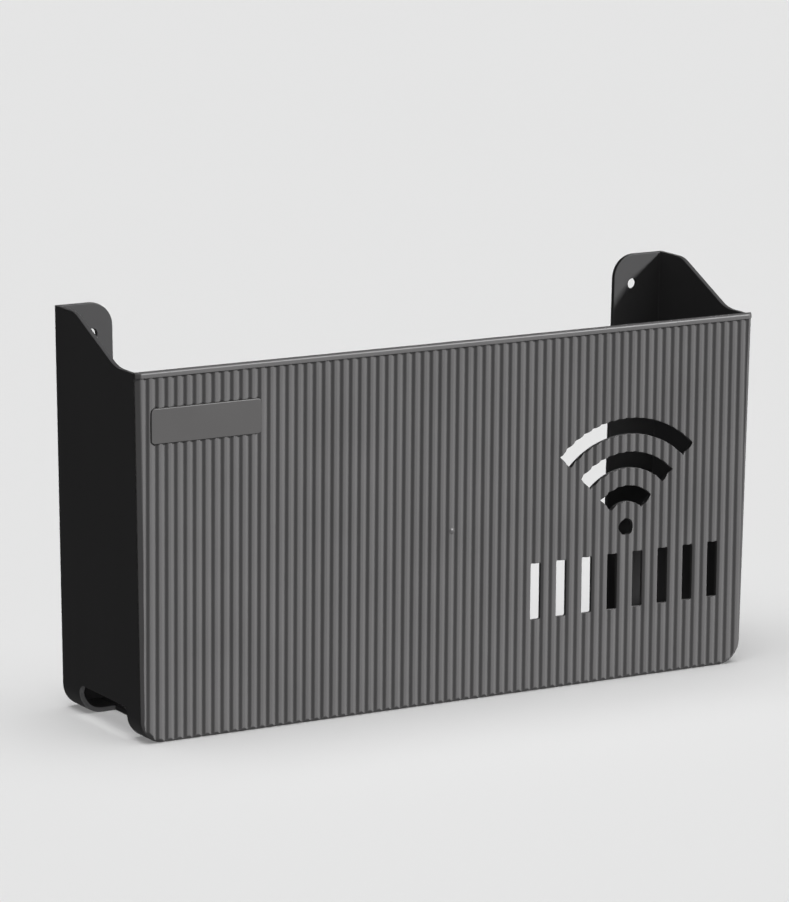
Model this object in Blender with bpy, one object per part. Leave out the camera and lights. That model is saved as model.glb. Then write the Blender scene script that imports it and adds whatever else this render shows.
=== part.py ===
"""Wall-hung router holder: an open-backed, open-topped tray of moulded plastic panels.

The tray is a fluted front panel with a proud rim along its top edge, two side panels, a floor panel
and a blank badge plate. Each side panel turns in at the back as a flange that rises into a screw ear,
and turns under at the bottom into a rounded corner with a cable cut-out in it. A fan of three arcs
over a dot and a row of eight slots run through the front panel.

Frame: metres, +X to the right seen from the front, +Y towards the wall, +Z up. The origin is at the
bottom centre of the box that encloses the tray.
"""

import math

import bmesh
import bpy

# Overall size
WIDTH = 0.245
DEPTH = 0.060
HEIGHT = 0.140
FRONT_HEIGHT = 0.1265
SIDE_HEIGHT = 0.1260
DRAFT = math.tan(math.radians(1.0))
GAP = 0.0003
REACH = 0.005

# Walls, and the depths of the front panel's layers
WALL = 0.0018
FLUTE_DEPTH = 0.0008
CORNER_RADIUS = 0.0085
FRONT_Y = -DEPTH / 2
BACK_Y = DEPTH / 2
RIB_TOP_Y = FRONT_Y + 0.0004
GROOVE_Y = RIB_TOP_Y + FLUTE_DEPTH
PANEL_BACK_Y = RIB_TOP_Y + WALL
WALL_FRONT_Y = PANEL_BACK_Y + GAP

# The front's outer edges: a bend and a chamfer, which is narrower along the bottom
EDGE_ANGLE = math.radians(36)
EDGE_BEND = 0.0010
EDGE_CHAMFER = 0.0015
EDGE_REACH = EDGE_CHAMFER + EDGE_BEND * math.sin(EDGE_ANGLE)
EDGE_FALL = EDGE_CHAMFER * math.tan(EDGE_ANGLE) + EDGE_BEND * (1 - math.cos(EDGE_ANGLE))
BOTTOM_SHARE = 0.75

# Flutes
FLUTE_PITCH = 0.0035
FLUTE_COUNT = 69
FLUTE_OFFSET = 0.0006
GROOVE_MOUTH = 0.0024
GROOVE_FLOOR = 0.0005
RIM_HEIGHT = 0.0020

# Fan of arcs, dot and slots through the front panel, centred on a groove
FAN_X = FLUTE_OFFSET + 20 * FLUTE_PITCH
FAN_Z = 0.0547
FAN_HALF_ANGLE = math.radians(45)
FAN_INNER_RADII = (0.0090, 0.0210, 0.0330)
ARC_WIDTH = 0.0058
ARC_STEPS = 16
DOT_RADIUS = 0.0030
SLOT_COUNT = 8
SLOT_PITCH = 3 * FLUTE_PITCH
SLOT_WIDTH = 0.0041
SLOT_LOW = 0.0255
SLOT_HIGH = 0.0456
SLOT_CORNER = 0.0006

# Badge plate and its pocket
BADGE_X = -0.0960
BADGE_Z = 0.1081
BADGE_WIDTH = 0.0415
BADGE_HEIGHT = 0.0120
BADGE_CORNER = 0.0015
BADGE_EDGE = 0.0003
POCKET_Y = GROOVE_Y + 0.0002
BADGE_PIN_RADIUS = 0.0012
BADGE_PIN_SPACING = 0.026

# Moulding gate mark on the front
GATE_X = -0.0007
GATE_Z = 0.0607
GATE_RADIUS = 0.0013

# Locating rails behind the front panel
RAIL = 0.0015
RAIL_DEPTH = 0.004
SIDE_RAIL_LOW = 0.014
SIDE_RAIL_HIGH = 0.112

# Rear flange and screw ear
FLANGE_WIDTH = 0.0212
FLANGE_Y = BACK_Y - WALL
EAR_CORNER = 0.0085
EAR_TOP_DEPTH = 0.0152
EAR_SLOPE_END_Y = -0.0145
EAR_SHOULDER_ROUND = 0.012
EAR_FOOT_ROUND = 0.018
SCREW_X = 0.1090
SCREW_Z = 0.1292
SCREW_RADIUS = 0.00185

# Cable cut-out in each bottom corner
NOTCH_FRONT_Y = -0.0183
NOTCH_BACK_Y = 0.0167
NOTCH_TOP = 0.0107
NOTCH_BACK_RADIUS = 0.0035
NOTCH_FRONT_RADIUS = 0.0012
RETURN_EDGE = 0.1063

# Floor panel and its tabs
FLOOR_HALF = RETURN_EDGE - GAP
TAB_INNER = 0.100
TAB_OUTER = 0.1115
TAB_TOP = 2 * WALL + GAP

PLASTICS = {
    "front_plastic": ((0.105, 0.103, 0.104), 0.42),
    "side_plastic": ((0.085, 0.084, 0.086), 0.45),
    "floor_plastic": ((0.085, 0.084, 0.086), 0.48),
    "badge_plastic": ((0.078, 0.076, 0.076), 0.40),
}


def clear_scene():
    for obj in list(bpy.data.objects):
        bpy.data.objects.remove(obj, do_unlink=True)


def plastic(slot):
    colour, roughness = PLASTICS[slot]
    made = bpy.data.materials.new(slot)
    made.use_nodes = True
    shader = made.node_tree.nodes["Principled BSDF"]
    shader.inputs["Base Color"].default_value = (*colour, 1.0)
    shader.inputs["Roughness"].default_value = roughness
    shader.inputs["Metallic"].default_value = 0.0
    return made


def half_width(z):
    """Half of the tray's outer width at height z: both sides lean in towards the bottom."""
    return WIDTH / 2 - DRAFT * (HEIGHT - z)


def arc(centre, radius, start, end, steps):
    """Points on a circle, from angle start to angle end, in radians."""
    points = []
    for step in range(steps + 1):
        angle = start + (end - start) * step / steps
        points.append((centre[0] + radius * math.cos(angle), centre[1] + radius * math.sin(angle)))
    return points


def fillet(corner, before, after, radius, steps=5):
    """The points that round a corner of an outline, from the side of `before` to that of `after`."""
    to_before = (before[0] - corner[0], before[1] - corner[1])
    to_after = (after[0] - corner[0], after[1] - corner[1])
    one = [part / math.hypot(*to_before) for part in to_before]
    two = [part / math.hypot(*to_after) for part in to_after]
    half = math.acos(one[0] * two[0] + one[1] * two[1]) / 2
    middle = [one[0] + two[0], one[1] + two[1]]
    length = math.hypot(*middle)
    reach = radius / math.sin(half)
    centre = [corner[i] + middle[i] / length * reach for i in (0, 1)]
    first = [corner[i] + one[i] * radius / math.tan(half) - centre[i] for i in (0, 1)]
    last = [corner[i] + two[i] * radius / math.tan(half) - centre[i] for i in (0, 1)]
    start = math.atan2(first[1], first[0])
    turn = math.atan2(last[1], last[0]) - start
    turn = (turn + math.pi) % (2 * math.pi) - math.pi
    return arc(centre, radius, start, start + turn, steps)


def rounded_outline(corners):
    """An outline from (point, radius) pairs, each corner with a radius rounded."""
    points = []
    for index, (point, radius) in enumerate(corners):
        if not radius:
            points.append(point)
            continue
        before = corners[index - 1][0]
        after = corners[(index + 1) % len(corners)][0]
        points += fillet(point, before, after, radius)
    return points


def rectangle(centre, width, height, corner=0.0):
    """A rectangle's outline round a centre point."""
    x, z = centre
    corners = [(-1, -1), (1, -1), (1, 1), (-1, 1)]
    return rounded_outline([((x + i * width / 2, z + j * height / 2), corner) for i, j in corners])


def place(point, axis, level):
    """A 2-D outline point as a 3-D one, at a level along axis."""
    a, b = point
    return {"X": (level, a, b), "Y": (a, level, b), "Z": (a, b, level)}[axis]


def add_prism(mesh, outline, axis, low, high):
    rings = [[mesh.verts.new(place(point, axis, level)) for point in outline] for level in (low, high)]
    mesh.faces.new(rings[0])
    mesh.faces.new(list(reversed(rings[1])))
    for index in range(len(outline)):
        after = (index + 1) % len(outline)
        mesh.faces.new((rings[0][index], rings[1][index], rings[1][after], rings[0][after]))


def finished(mesh, name):
    bmesh.ops.recalc_face_normals(mesh, faces=mesh.faces)
    data = bpy.data.meshes.new(name)
    mesh.to_mesh(data)
    mesh.free()
    made = bpy.data.objects.new(name, data)
    bpy.context.scene.collection.objects.link(made)
    return made


def prisms(name, outlines, axis, low, high):
    """One object that holds the outlines, each extruded along axis from low to high."""
    mesh = bmesh.new()
    for outline in outlines:
        add_prism(mesh, outline, axis, low, high)
    return finished(mesh, name)


def helper(made):
    made.hide_render = True
    made.display_type = "WIRE"
    return made


def combine(target, other, operation):
    step = target.modifiers.new(operation.lower() + "_" + other.name, "BOOLEAN")
    step.operation = operation
    step.object = helper(other)
    step.solver = "EXACT"


def cut(target, other):
    combine(target, other, "DIFFERENCE")


def join(target, other):
    combine(target, other, "UNION")


def tray_outline(inset=0.0):
    """The front view's outline, drawn in by `inset` along the sides, and by a share of it at the bottom."""
    lift = BOTTOM_SHARE * inset
    radius = CORNER_RADIUS - (inset + lift) / 2
    low, high, top = half_width(0) - inset, half_width(FRONT_HEIGHT) - inset, FRONT_HEIGHT
    corners = [((-high, top), 0), ((-low, lift), radius), ((low, lift), radius), ((high, top), 0)]
    return rounded_outline(corners)


def front_blank():
    """The front panel's outer form, its front bending back to a chamfer down both sides and the bottom."""
    steps = 3
    layers = []
    for step in range(steps + 1):
        angle = EDGE_ANGLE * step / steps
        inset = EDGE_REACH - EDGE_BEND * math.sin(angle)
        layers.append((inset, FRONT_Y + EDGE_BEND * (1 - math.cos(angle))))
    layers.append((0.0, FRONT_Y + EDGE_FALL))
    layers.append((0.0, PANEL_BACK_Y))
    mesh = bmesh.new()
    rings = []
    for inset, level in layers:
        rings.append([mesh.verts.new(place(point, "Y", level)) for point in tray_outline(inset)])
    for first, second in zip(rings, rings[1:]):
        for index in range(len(first)):
            after = (index + 1) % len(first)
            mesh.faces.new((first[index], second[index], second[after], first[after]))
    mesh.faces.new(rings[0])
    mesh.faces.new(list(reversed(rings[-1])))
    return finished(mesh, "front_panel")


def front_profile():
    """The front panel's side view: the ribs' tops, and the rim that stands proud of them."""
    proud = RIB_TOP_Y - FRONT_Y
    rim_low = FRONT_HEIGHT - RIM_HEIGHT
    over = GAP
    top = FRONT_HEIGHT + REACH
    back = PANEL_BACK_Y + REACH
    return [
        (RIB_TOP_Y, -REACH),
        (back, -REACH),
        (back, top),
        (RIB_TOP_Y + REACH, top),
        (FRONT_Y - over, FRONT_HEIGHT - proud - over),
        (FRONT_Y - over, rim_low + proud + over),
        (RIB_TOP_Y, rim_low),
    ]


def grooves():
    """The grooves between the ribs, which stop under the rim and run out through the lower edge."""
    over = 2 * GAP
    slope = (GROOVE_MOUTH - GROOVE_FLOOR) / 2 / FLUTE_DEPTH
    mouth = GROOVE_MOUTH / 2 + slope * over
    floor = GROOVE_FLOOR / 2
    mesh = bmesh.new()
    for index in range(FLUTE_COUNT):
        x = FLUTE_OFFSET + (index - FLUTE_COUNT // 2) * FLUTE_PITCH
        outline = [
            (x - mouth, RIB_TOP_Y - over),
            (x + mouth, RIB_TOP_Y - over),
            (x + floor, GROOVE_Y),
            (x - floor, GROOVE_Y),
        ]
        add_prism(mesh, outline, "Z", -REACH, FRONT_HEIGHT - RIM_HEIGHT)
    return finished(mesh, "groove_cutter")


def fan_arc(inner):
    """One arc of the fan: a band between two radii with ends cut square to it."""
    low = math.pi / 2 - FAN_HALF_ANGLE
    high = math.pi / 2 + FAN_HALF_ANGLE
    centre = (FAN_X, FAN_Z)
    outer_edge = arc(centre, inner + ARC_WIDTH, low, high, ARC_STEPS)
    return outer_edge + arc(centre, inner, high, low, ARC_STEPS)


def fan_and_slots():
    outlines = [fan_arc(inner) for inner in FAN_INNER_RADII]
    outlines.append(arc((FAN_X, FAN_Z), DOT_RADIUS, 0, 2 * math.pi, 20)[:-1])
    middle = (SLOT_LOW + SLOT_HIGH) / 2
    for index in range(SLOT_COUNT):
        x = FAN_X + (index - (SLOT_COUNT - 1) / 2) * SLOT_PITCH
        outlines.append(rectangle((x, middle), SLOT_WIDTH, SLOT_HIGH - SLOT_LOW, SLOT_CORNER))
    return prisms("fan_cutter", outlines, "Y", FRONT_Y - REACH, PANEL_BACK_Y + REACH)


def badge_pins(name, radius, low, high):
    outlines = []
    for side in (-1, 1):
        x = BADGE_X + side * BADGE_PIN_SPACING / 2
        outlines.append(arc((x, BADGE_Z), radius, 0, 2 * math.pi, 16)[:-1])
    return prisms(name, outlines, "Y", low, high)


def side_rail(side):
    """The rail that stands just inside a side panel, along its lean."""
    outline = []
    for z, inset in (
        (SIDE_RAIL_LOW, WALL + GAP),
        (SIDE_RAIL_HIGH, WALL + GAP),
        (SIDE_RAIL_HIGH, WALL + GAP + RAIL),
        (SIDE_RAIL_LOW, WALL + GAP + RAIL),
    ):
        outline.append((side * (half_width(z) - inset), z))
    return outline


def rails():
    outlines = [side_rail(-1), side_rail(1)]
    return prisms("locating_rails", outlines, "Y", PANEL_BACK_Y - WALL / 2, PANEL_BACK_Y + RAIL_DEPTH)


def front_panel():
    panel = front_blank()
    reach = WIDTH / 2 + REACH
    combine(panel, prisms("side_view", [front_profile()], "X", -reach, reach), "INTERSECT")
    cut(panel, grooves())
    gate = arc((GATE_X, GATE_Z), GATE_RADIUS, 0, 2 * math.pi, 16)[:-1]
    join(panel, prisms("gate_mark", [gate], "Y", RIB_TOP_Y + GAP / 2, GROOVE_Y + FLUTE_DEPTH))
    join(panel, rails())
    cut(panel, fan_and_slots())
    pocket = rectangle(
        (BADGE_X, BADGE_Z), BADGE_WIDTH + 2 * GAP, BADGE_HEIGHT + 2 * GAP, BADGE_CORNER + GAP
    )
    cut(panel, prisms("badge_pocket", [pocket], "Y", FRONT_Y - REACH, POCKET_Y))
    cut(panel, badge_pins("badge_pin_holes", BADGE_PIN_RADIUS + GAP, FRONT_Y, PANEL_BACK_Y + REACH))
    panel.data.materials.append(plastic("front_plastic"))
    return panel


def badge_plate():
    """A blank plate with a softened front edge, on two pins that pass through the front panel."""
    back = POCKET_Y - GAP
    mesh = bmesh.new()
    rings = []
    for inset, level in ((BADGE_EDGE, FRONT_Y), (0.0, FRONT_Y + BADGE_EDGE), (0.0, back)):
        outline = rectangle(
            (BADGE_X, BADGE_Z), BADGE_WIDTH - 2 * inset, BADGE_HEIGHT - 2 * inset, BADGE_CORNER - inset
        )
        rings.append([mesh.verts.new(place(point, "Y", level)) for point in outline])
    for first, second in zip(rings, rings[1:]):
        for index in range(len(first)):
            after = (index + 1) % len(first)
            mesh.faces.new((first[index], second[index], second[after], first[after]))
    mesh.faces.new(rings[0])
    mesh.faces.new(list(reversed(rings[-1])))
    plate = finished(mesh, "badge_plate")
    join(plate, badge_pins("badge_pins", BADGE_PIN_RADIUS, back - WALL / 4, PANEL_BACK_Y - GAP))
    plate.data.materials.append(plastic("badge_plastic"))
    return plate


def mirrored(outline, side):
    return [(side * x, z) for x, z in outline]


def side_block(side):
    """A side panel's outer form: the rear flange's outline, run forward to the front panel."""
    outline = rounded_outline(
        [
            ((half_width(0) - FLANGE_WIDTH, 0.0), 0),
            ((half_width(0), 0.0), CORNER_RADIUS),
            ((half_width(HEIGHT), HEIGHT), 0),
            ((half_width(HEIGHT) - FLANGE_WIDTH, HEIGHT), EAR_CORNER),
        ]
    )
    name = "left_side_panel" if side < 0 else "right_side_panel"
    return prisms(name, [mirrored(outline, side)], "Y", WALL_FRONT_Y, BACK_Y)


def side_cavity(side):
    """The space inside the wall, its return and its flange."""
    top = HEIGHT + REACH
    inner = half_width(0) - FLANGE_WIDTH - REACH
    outline = rounded_outline(
        [
            ((inner, WALL), 0),
            ((half_width(0) - WALL, WALL), CORNER_RADIUS - WALL),
            ((half_width(top) - WALL, top), 0),
            ((inner, top), 0),
        ]
    )
    return prisms("side_cavity", [mirrored(outline, side)], "Y", WALL_FRONT_Y - REACH, FLANGE_Y)


def floor_space(side):
    """The room for the floor panel between the two returns, in front of the flanges."""
    inner = half_width(0) - FLANGE_WIDTH - REACH
    outline = [(inner, -REACH), (RETURN_EDGE, -REACH), (RETURN_EDGE, WALL + GAP), (inner, WALL + GAP)]
    return prisms("floor_space", [mirrored(outline, side)], "Y", WALL_FRONT_Y - REACH, FLANGE_Y)


def ear_cutter(side):
    """What is cut from the wall to leave its level top edge and the rounded slope up to the ear."""
    front, top = WALL_FRONT_Y - REACH, HEIGHT + REACH
    foot, shoulder = (EAR_SLOPE_END_Y, SIDE_HEIGHT), (BACK_Y - EAR_TOP_DEPTH, HEIGHT)
    outline = [(front, SIDE_HEIGHT)]
    outline += fillet(foot, (front, SIDE_HEIGHT), shoulder, EAR_FOOT_ROUND)
    outline += fillet(shoulder, foot, (BACK_Y, HEIGHT), EAR_SHOULDER_ROUND)
    outline += [(outline[-1][0], top), (front, top)]
    low = half_width(0) - FLANGE_WIDTH - REACH
    levels = sorted((side * low, side * (WIDTH / 2 + REACH)))
    return prisms("ear_cutter", [outline], "X", *levels)


def notch_cutter(side):
    outline = rounded_outline(
        [
            ((NOTCH_FRONT_Y, -REACH), 0),
            ((NOTCH_BACK_Y, -REACH), 0),
            ((NOTCH_BACK_Y, NOTCH_TOP), NOTCH_BACK_RADIUS),
            ((NOTCH_FRONT_Y, NOTCH_TOP), NOTCH_FRONT_RADIUS),
        ]
    )
    levels = sorted((side * (RETURN_EDGE - REACH), side * (WIDTH / 2 + REACH)))
    return prisms("notch_cutter", [outline], "X", *levels)


def side_panel(side):
    panel = side_block(side)
    cut(panel, side_cavity(side))
    cut(panel, floor_space(side))
    cut(panel, ear_cutter(side))
    cut(panel, notch_cutter(side))
    hole = arc((side * SCREW_X, SCREW_Z), SCREW_RADIUS, 0, 2 * math.pi, 24)[:-1]
    cut(panel, prisms("screw_hole", [hole], "Y", FLANGE_Y - REACH, BACK_Y + REACH))
    panel.data.materials.append(plastic("side_plastic"))
    return panel


def tab_outline(side):
    """A tab that grows out of the floor panel's edge and lies on a side panel's return."""
    clear = WALL + GAP
    outline = [
        (TAB_INNER, WALL / 2),
        (FLOOR_HALF, WALL / 2),
        (FLOOR_HALF, clear),
        (TAB_OUTER, clear),
        (TAB_OUTER, TAB_TOP),
        (TAB_INNER, TAB_TOP),
    ]
    return mirrored(outline, side)


def floor_outline():
    """The floor panel from above, its rear corners cut back to pass between the flanges."""
    rear_half, step_y = half_width(0) - FLANGE_WIDTH - GAP, FLANGE_Y - GAP
    right = [(FLOOR_HALF, WALL_FRONT_Y), (FLOOR_HALF, step_y), (rear_half, step_y), (rear_half, BACK_Y)]
    left = [(-x, y) for x, y in reversed(right)]
    return right + left


def floor_panel():
    panel = prisms("floor_panel", [floor_outline()], "Z", 0.0, WALL)
    tabs = [tab_outline(-1), tab_outline(1)]
    join(panel, prisms("tabs", tabs, "Y", WALL_FRONT_Y + GAP, NOTCH_FRONT_Y - GAP))
    panel.data.materials.append(plastic("floor_plastic"))
    return panel


def main():
    clear_scene()
    front_panel()
    badge_plate()
    side_panel(-1)
    side_panel(1)
    floor_panel()


main()
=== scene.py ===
"""Router holder in dark grey moulded plastic: the visual model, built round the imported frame.

Five pieces ride on the root body: the fluted front panel, the blank badge plate, the two side panels
and the floor panel. Each stands for the CAD node of the same part. Everything is in metres, +X to the
right seen from the front, +Y towards the wall, +Z up.
"""

import math

import bmesh
import bpy
import numpy as np
from mathutils import Matrix, Vector
from mathutils.geometry import delaunay_2d_cdt


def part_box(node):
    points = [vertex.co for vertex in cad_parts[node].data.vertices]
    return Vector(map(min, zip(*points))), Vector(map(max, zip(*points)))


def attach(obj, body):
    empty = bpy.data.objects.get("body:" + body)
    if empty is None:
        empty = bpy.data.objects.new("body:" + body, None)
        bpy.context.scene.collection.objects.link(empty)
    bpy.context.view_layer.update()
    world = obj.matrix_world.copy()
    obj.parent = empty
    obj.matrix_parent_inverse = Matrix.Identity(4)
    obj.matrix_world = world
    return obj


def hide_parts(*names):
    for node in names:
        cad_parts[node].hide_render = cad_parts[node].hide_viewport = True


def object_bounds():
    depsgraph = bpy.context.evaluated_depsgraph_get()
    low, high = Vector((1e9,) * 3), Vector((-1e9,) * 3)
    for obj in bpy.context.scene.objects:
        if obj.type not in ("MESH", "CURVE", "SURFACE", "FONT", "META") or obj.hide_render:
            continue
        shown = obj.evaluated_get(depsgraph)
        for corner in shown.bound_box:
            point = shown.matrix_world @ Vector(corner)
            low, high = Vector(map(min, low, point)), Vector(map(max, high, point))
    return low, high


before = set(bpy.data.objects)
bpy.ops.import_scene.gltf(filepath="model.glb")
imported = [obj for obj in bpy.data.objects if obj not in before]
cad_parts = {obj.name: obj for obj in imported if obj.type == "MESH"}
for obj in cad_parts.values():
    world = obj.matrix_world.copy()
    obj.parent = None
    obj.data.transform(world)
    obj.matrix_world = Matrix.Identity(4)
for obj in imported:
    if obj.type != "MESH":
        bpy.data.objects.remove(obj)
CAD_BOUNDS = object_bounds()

MM = 0.001

# Sizes that the frame gives
LOW, HIGH = CAD_BOUNDS
WIDTH = HIGH.x - LOW.x
HEIGHT = HIGH.z
FRONT_Y = LOW.y
BACK_Y = HIGH.y
FRONT_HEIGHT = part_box("front_panel")[1].z
BADGE_LOW, BADGE_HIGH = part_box("badge_plate")

# Sizes that repeat the design
DRAFT = math.tan(math.radians(1.0))
WALL = 1.8 * MM
GAP = 0.3 * MM
SEAM = 0.04 * MM
CORNER_RADIUS = 8.5 * MM
SIDE_HEIGHT = 126.0 * MM
REACH = 5 * MM
RIB_TOP_Y = FRONT_Y + 0.4 * MM
PANEL_BACK_Y = RIB_TOP_Y + WALL
WALL_FRONT_Y = PANEL_BACK_Y + SEAM

# Tolerances: the width of a step, of a slope's sample, and of two points that count as one
STEP = 0.03 * MM
SAMPLE_NUDGE = 0.002 * MM
SAMPLE_SPAN = 0.001 * MM
SAME_PLACE = 0.001 * MM
AT_TOP = 0.01 * MM
SHARP_ANGLE = math.radians(30)
FLAT_ANGLE = math.radians(0.1)

# Flutes
FLUTE_PITCH = 3.5 * MM
FLUTE_COUNT = 69
FLUTE_OFFSET = 0.6 * MM
FLUTE_DEPTH = 0.8 * MM
GROOVE_MOUTH = 2.4 * MM
GROOVE_FLOOR = 0.2 * MM
GROOVE_SOFTNESS = 0.25
FLANK_SHARES = (-0.1, 0.0, 0.1, 0.25, 0.5, 0.75, 0.9, 1.0, 1.1, 1.25)

# Rim along the top edge, and the rounding of the panel's edges
RIM_HEIGHT = 2 * MM
RIM_LOW = FRONT_HEIGHT - RIM_HEIGHT
RIM_TOP_ROUND = 0.8 * MM
RIM_UNDER_ROUND = 0.25 * MM
EDGE_ANGLE = math.radians(36)
EDGE_BEND = 1.0 * MM
EDGE_CHAMFER = 1.5 * MM
EDGE_REACH = EDGE_CHAMFER + EDGE_BEND * math.sin(EDGE_ANGLE)
BOTTOM_SHARE = 0.75
EDGE_ROUND = 0.2 * MM
HOLE_ROUND = 0.08 * MM
POCKET_DEEPER = 0.2 * MM

# Where the front's mesh has lines across each rounding, as shares of its width
EDGE_ROUND_LINES = (0.03, 0.12, 0.3, 0.6, 1.0)
CHAMFER_LINES = (0.2, 0.3, 0.42, 0.56, 0.67, 0.78, 0.89, 1.0)
RIM_UNDER_LINES = (0.15, 0.5, 1.0)
RIM_TOP_LINES = (1.0, 0.6, 0.3, 0.1, 0.025)
HOLE_LINES = (0, 0.1, 0.4, 1.0)
GATE_LINES = (1.2, 1.0, 0.97, 0.85, 0.6, 0.3)

# Fan of arcs, dot and slots
FAN_X = FLUTE_OFFSET + 20 * FLUTE_PITCH
FAN_Z = 54.7 * MM
FAN_HALF_ANGLE = math.radians(45)
FAN_INNER_RADII = (9 * MM, 21 * MM, 33 * MM)
ARC_WIDTH = 5.8 * MM
ARC_STEPS = 40
DOT_RADIUS = 3 * MM
SLOT_COUNT = 8
SLOT_PITCH = 3 * FLUTE_PITCH
SLOT_WIDTH = 4.1 * MM
SLOT_LOW = 25.5 * MM
SLOT_HIGH = 45.6 * MM
SLOT_CORNER = 0.6 * MM

# Badge plate
BADGE_CORNER = 1.5 * MM
BADGE_ROUND = 0.35 * MM
POCKET_CLEAR = 0.12 * MM
POCKET_Y = RIB_TOP_Y + FLUTE_DEPTH + POCKET_DEEPER
PIN_RADIUS = 1.2 * MM
PIN_SPACING = 26 * MM
PIN_SINK = 0.4 * MM
PIN_END_ROUND = 0.2 * MM
BADGE_X = (BADGE_LOW.x + BADGE_HIGH.x) / 2
BADGE_Z = (BADGE_LOW.z + BADGE_HIGH.z) / 2
BADGE_WIDTH = BADGE_HIGH.x - BADGE_LOW.x
BADGE_HEIGHT = BADGE_HIGH.z - BADGE_LOW.z

# Moulding gate mark
GATE_X = -0.7 * MM
GATE_Z = 60.7 * MM
GATE_RADIUS = 1.4 * MM
GATE_PROUD = 0.3 * MM

# Locating rails behind the front panel
RAIL = 1.5 * MM
RAIL_DEPTH = 4 * MM
RAIL_LOW = 14 * MM
RAIL_HIGH = 112 * MM
RAIL_CHAMFER = 0.3 * MM

# Side panels
FLANGE_WIDTH = 21.2 * MM
FLANGE_Y = BACK_Y - WALL
EAR_CORNER = 8.5 * MM
EAR_TOP_DEPTH = 15.2 * MM
EAR_SLOPE_END_Y = -14.5 * MM
EAR_SHOULDER_ROUND = 12 * MM
EAR_FOOT_ROUND = 18 * MM
SCREW_X = 109 * MM
SCREW_Z = 129.2 * MM
SCREW_RADIUS = 1.85 * MM
NOTCH_FRONT_Y = -18.3 * MM
NOTCH_BACK_Y = 16.7 * MM
NOTCH_TOP = 10.7 * MM
NOTCH_BACK_RADIUS = 3.5 * MM
NOTCH_FRONT_RADIUS = 1.2 * MM
RETURN_EDGE = 106.3 * MM
BACK_EDGE_ROUND = 1.0 * MM
THIN_EDGE_ROUND = 0.35 * MM

# Floor panel
FLOOR_HALF = RETURN_EDGE - SEAM
TAB_INNER = 100 * MM
TAB_OUTER = 111.5 * MM
FLOOR_EDGE_ROUND = 0.2 * MM

# Plastics
FRONT_COLOUR = (0.105, 0.103, 0.104)
SIDE_COLOUR = (0.085, 0.084, 0.086)
BADGE_COLOUR = (0.078, 0.076, 0.076)
WEAR_WIDTH = 0.3 * MM
GRAIN_HEIGHT = 0.02 * MM

# Stage, and the camera's place and turn
GROUND_COLOUR = (0.8, 0.8, 0.8)
WHITE = (1.0, 1.0, 1.0)
STAGE_RADIUS = 12.0
SURROUND_GLOW = 0.85
AMBIENT = 0.034
CAMERA_YAW = math.radians(30.356)
CAMERA_PITCH = math.radians(11.670)
CAMERA_ROLL = math.radians(-0.471)
CAMERA_PLACE = Vector((-0.8612, -1.4596, 0.4333))
CAMERA_LENS = 199.14
CAMERA_SENSOR = 36.0
CAMERA_REACH = 100.0

# The way each light on the panels travels
KEY_WAY = (-1.0, 1.0, -0.75)
BOUNCE_WAY = (0.1, 0.8, 0.6)
BACK_WAY = (-0.5, -1.0, -0.2)


# ---------------------------------------------------------------- new objects


def added(name, data):
    made = bpy.data.objects.new(name, data)
    bpy.context.scene.collection.objects.link(made)
    return made


def added_mesh(name, mesh):
    data = bpy.data.meshes.new(name)
    mesh.to_mesh(data)
    mesh.free()
    return added(name, data)


# ---------------------------------------------------------------- outlines


def half_width(z):
    """Half of the holder's outer width at height z: both sides lean in towards the bottom."""
    return WIDTH / 2 - DRAFT * (HEIGHT - z)


def arc(centre, radius, start, end, steps):
    angles = [start + (end - start) * step / steps for step in range(steps + 1)]
    return [(centre[0] + radius * math.cos(a), centre[1] + radius * math.sin(a)) for a in angles]


def fillet(corner, before, after, radius, steps=12):
    """The points that round a corner of an outline, from the side of `before` to that of `after`."""
    one = Vector(before) - Vector(corner)
    two = Vector(after) - Vector(corner)
    one.normalize()
    two.normalize()
    half = one.angle(two) / 2
    centre = Vector(corner) + (one + two).normalized() * radius / math.sin(half)
    first = Vector(corner) + one * radius / math.tan(half) - centre
    last = Vector(corner) + two * radius / math.tan(half) - centre
    start = math.atan2(first.y, first.x)
    turn = math.atan2(last.y, last.x) - start
    turn = (turn + math.pi) % (2 * math.pi) - math.pi
    return arc(centre, radius, start, start + turn, steps)


def rounded_outline(corners, steps=12):
    """An outline from (point, radius) pairs, each corner with a radius rounded."""
    points = []
    for index, (point, radius) in enumerate(corners):
        if not radius:
            points.append(point)
            continue
        before = corners[index - 1][0]
        after = corners[(index + 1) % len(corners)][0]
        points += fillet(point, before, after, radius, steps)
    return points


def rectangle(centre, width, height, corner=0.0, steps=12):
    x, z = centre
    signs = [(-1, -1), (1, -1), (1, 1), (-1, 1)]
    return rounded_outline([((x + i * width / 2, z + j * height / 2), corner) for i, j in signs], steps)


def circle(centre, radius, steps=32):
    return arc(centre, radius, 0, 2 * math.pi, steps)[:-1]


def mirrored(outline, side):
    return [(side * x, z) for x, z in outline]


def tray_outline(inset=0.0):
    """The front view's outline, drawn in along the sides and the bottom, but not along the top."""
    low, high, top = half_width(0) - inset, half_width(FRONT_HEIGHT) - inset, FRONT_HEIGHT
    radius = CORNER_RADIUS - inset
    corners = [((-high, top), 0), ((-low, inset), radius), ((low, inset), radius), ((high, top), 0)]
    return rounded_outline(corners, 16)


# ---------------------------------------------------------------- distances in the front view


def tray_inset(x, z):
    """How far a point lies inside the tray's sides and bottom."""
    cosine = math.cos(math.atan(DRAFT))
    centre_x = half_width(CORNER_RADIUS) - CORNER_RADIUS / cosine
    across = np.abs(x) - centre_x
    down = CORNER_RADIUS - z
    in_corner = (across > 0) & (down > DRAFT * across)
    straight = np.minimum((half_width(z) - np.abs(x)) * cosine, z)
    return np.where(in_corner, CORNER_RADIUS - np.hypot(across, down), straight)


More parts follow.
